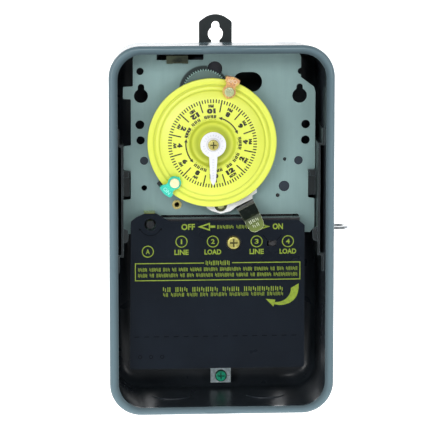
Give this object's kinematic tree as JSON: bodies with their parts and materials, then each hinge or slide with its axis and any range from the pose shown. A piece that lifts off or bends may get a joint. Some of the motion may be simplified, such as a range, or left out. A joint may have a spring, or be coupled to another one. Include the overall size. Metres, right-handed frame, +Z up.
{
  "type": "mechanical time switch",
  "caption": "Dial-driven time switch in an open steel wall case: numbered dial with on and off trippers, manual lever and printed wiring insulator.",
  "frame": {"origin": "middle of the case's flat back face", "axes": "+X to the right seen from the front, +Y out of the back into the wall, +Z up along the long side"},
  "size_m": [0.1363, 0.062, 0.222],
  "materials": {
    "shell_enamel": "gloss enamel",
    "dark_steel": "dark satin",
    "zinc_plate": "matt zinc",
    "bracket_steel": "satin",
    "rivet_blue": "satin",
    "zinc_bright": "bright zinc",
    "ground_green": "green dyed zinc",
    "brass": "satin",
    "spring_brass": "aged",
    "gear_dark": "dark grey",
    "dial_yellow": "satin",
    "aluminium_satin": "satin",
    "lever_nickel": "polished",
    "nylon_white": "natural nylon",
    "tripper_green": "metallic green",
    "tripper_copper": "gold plated",
    "insulator_black": "smooth black sheet",
    "phenolic_black": "moulded",
    "chromate_yellow": "yellow chromate",
    "motor_grey": "satin",
    "coil_copper": "varnished copper wire",
    "contact_silver": "silver",
    "lead_red": "insulation"
  },
  "bodies": {
    "case": {"enclosure_shell": "shell_enamel", "bottom_knockouts": "shell_enamel", "hanger_bracket": "dark_steel", "hasp_eye": "zinc_bright", "side_bracket_left": "dark_steel", "side_bracket_right": "dark_steel", "ground_lug": "bracket_steel", "ground_screw": "ground_green", "clip_anchor": "dark_steel", "mechanism_plate": "zinc_plate", "motor_strap": "bracket_steel", "motor_strap_rivets": "rivet_blue", "motor_can": "motor_grey", "motor_rear_cover": "motor_grey", "motor_coil": "coil_copper", "motor_coil_bobbin": "nylon_white", "motor_gearbox": "motor_grey", "motor_leads": "lead_red", "dial_post": "bracket_steel", "time_pointer": "aluminium_satin", "pointer_screw": "brass", "switch_base": "phenolic_black", "switch_back_cover": "phenolic_black", "base_rivet": "rivet_blue", "base_eyelet": "brass", "terminal_strip_1": "brass", "terminal_strip_2": "brass", "terminal_strip_3": "brass", "terminal_strip_4": "brass", "terminal_strip_a": "brass", "terminal_screws": "zinc_bright", "terminal_clamps": "bracket_steel", "fixed_contacts": "contact_silver", "insulator_hook": "chromate_yellow", "insulator_pivot_pin": "bracket_steel", "insulator_post_screw": "brass"},
    "top_clip": {"top_spring_clip": "spring_brass"},
    "drive": {"drive_gear": "gear_dark", "motor_output_shaft": "bracket_steel"},
    "dial_slide": {"dial_sleeve": "brass", "dial_return_spring": "bracket_steel"},
    "dial": {"dial_hub": "brass", "dial_gear": "gear_dark", "dial_plate": "dial_yellow"},
    "on_trip": {"on_tripper": "tripper_green", "on_tripper_jaw": "dark_steel"},
    "on_trip_screw": {"on_tripper_screw": "brass"},
    "off_trip": {"off_tripper": "tripper_copper", "off_tripper_jaw": "dark_steel"},
    "off_trip_screw": {"off_tripper_screw": "zinc_bright"},
    "lever": {"manual_lever": "lever_nickel", "trip_arm": "nylon_white", "lever_stud": "brass"},
    "contact_left": {"contact_arm_left": "brass", "moving_contact_left": "contact_silver"},
    "contact_right": {"contact_arm_right": "brass", "moving_contact_right": "contact_silver"},
    "crossbar": {"contact_crossbar": "phenolic_black"},
    "insulator": {"wiring_insulator": "insulator_black"}
  },
  "joints": [
    {"name": "clip_release", "type": "hinge", "parent": "case", "child": "top_clip", "pos_m": [0, -0.0043, 0.0967], "axis": [1, 0, 0], "range_deg": [-3, 0], "stiffness_Nm_per_rad": 1.5, "springref_deg": 1.15},
    {"name": "dial_pull", "type": "slide", "parent": "case", "child": "dial_slide", "axis": [0, -1, 0], "range_m": [0, 0.002], "stiffness_N_per_m": 400, "springref_m": -0.002, "deforming": ["dial_return_spring"]},
    {"name": "dial_spin", "type": "hinge", "parent": "dial_slide", "child": "dial", "pos_m": [-0.0048, -0.05, 0.049], "axis": [0, 1, 0], "continuous": true},
    {"name": "drive_spin", "type": "hinge", "parent": "case", "child": "drive", "pos_m": [-0.00858, -0.045, 0.07735], "axis": [0, 1, 0], "continuous": true},
    {"name": "on_tripper_set", "type": "hinge", "parent": "dial", "child": "on_trip", "pos_m": [-0.0048, -0.05, 0.049], "axis": [0, 1, 0], "range_deg": [-60, 60]},
    {"name": "off_tripper_set", "type": "hinge", "parent": "dial", "child": "off_trip", "pos_m": [-0.0048, -0.05, 0.049], "axis": [0, 1, 0], "range_deg": [-60, 60]},
    {"name": "on_screw_turn", "type": "hinge", "parent": "on_trip", "child": "on_trip_screw", "pos_m": [-0.02635, -0.055, 0.02699], "axis": [0, 1, 0], "range_deg": [-180, 0]},
    {"name": "off_screw_turn", "type": "hinge", "parent": "off_trip", "child": "off_trip_screw", "pos_m": [0.00446, -0.055, 0.07837], "axis": [0, 1, 0], "range_deg": [-180, 0]},
    {"name": "lever_throw", "type": "hinge", "parent": "case", "child": "lever", "pos_m": [-0.0048, -0.05, 0.049], "axis": [0, 1, 0], "range_deg": [0, 27.8]},
    {"name": "contact_left_swing", "type": "hinge", "parent": "case", "child": "contact_left", "pos_m": [-0.0095, -0.0228, -0.026], "axis": [0, 1, 0], "range_deg": [-6, 0]},
    {"name": "contact_right_swing", "type": "hinge", "parent": "case", "child": "contact_right", "pos_m": [0.011, -0.0228, -0.026], "axis": [0, 1, 0], "range_deg": [-6, 0]},
    {"name": "crossbar_slide", "type": "slide", "parent": "case", "child": "crossbar", "axis": [1, 0, 0], "range_m": [-0.00323, 0]},
    {"name": "insulator_lift", "type": "hinge", "parent": "case", "child": "insulator", "pos_m": [0, -0.0476, 0.009], "axis": [-1, 0, 0], "range_deg": [0, 17]}
  ],
  "couplings": [
    {"joint": "drive_spin", "follows": "dial_spin", "ratio": -1.2778},
    {"joint": "contact_left_swing", "follows": "lever_throw", "ratio": -0.21583},
    {"joint": "contact_right_swing", "follows": "lever_throw", "ratio": -0.21583},
    {"joint": "crossbar_slide", "follows": "lever_throw", "m_per_rad": -0.006656}
  ]
}
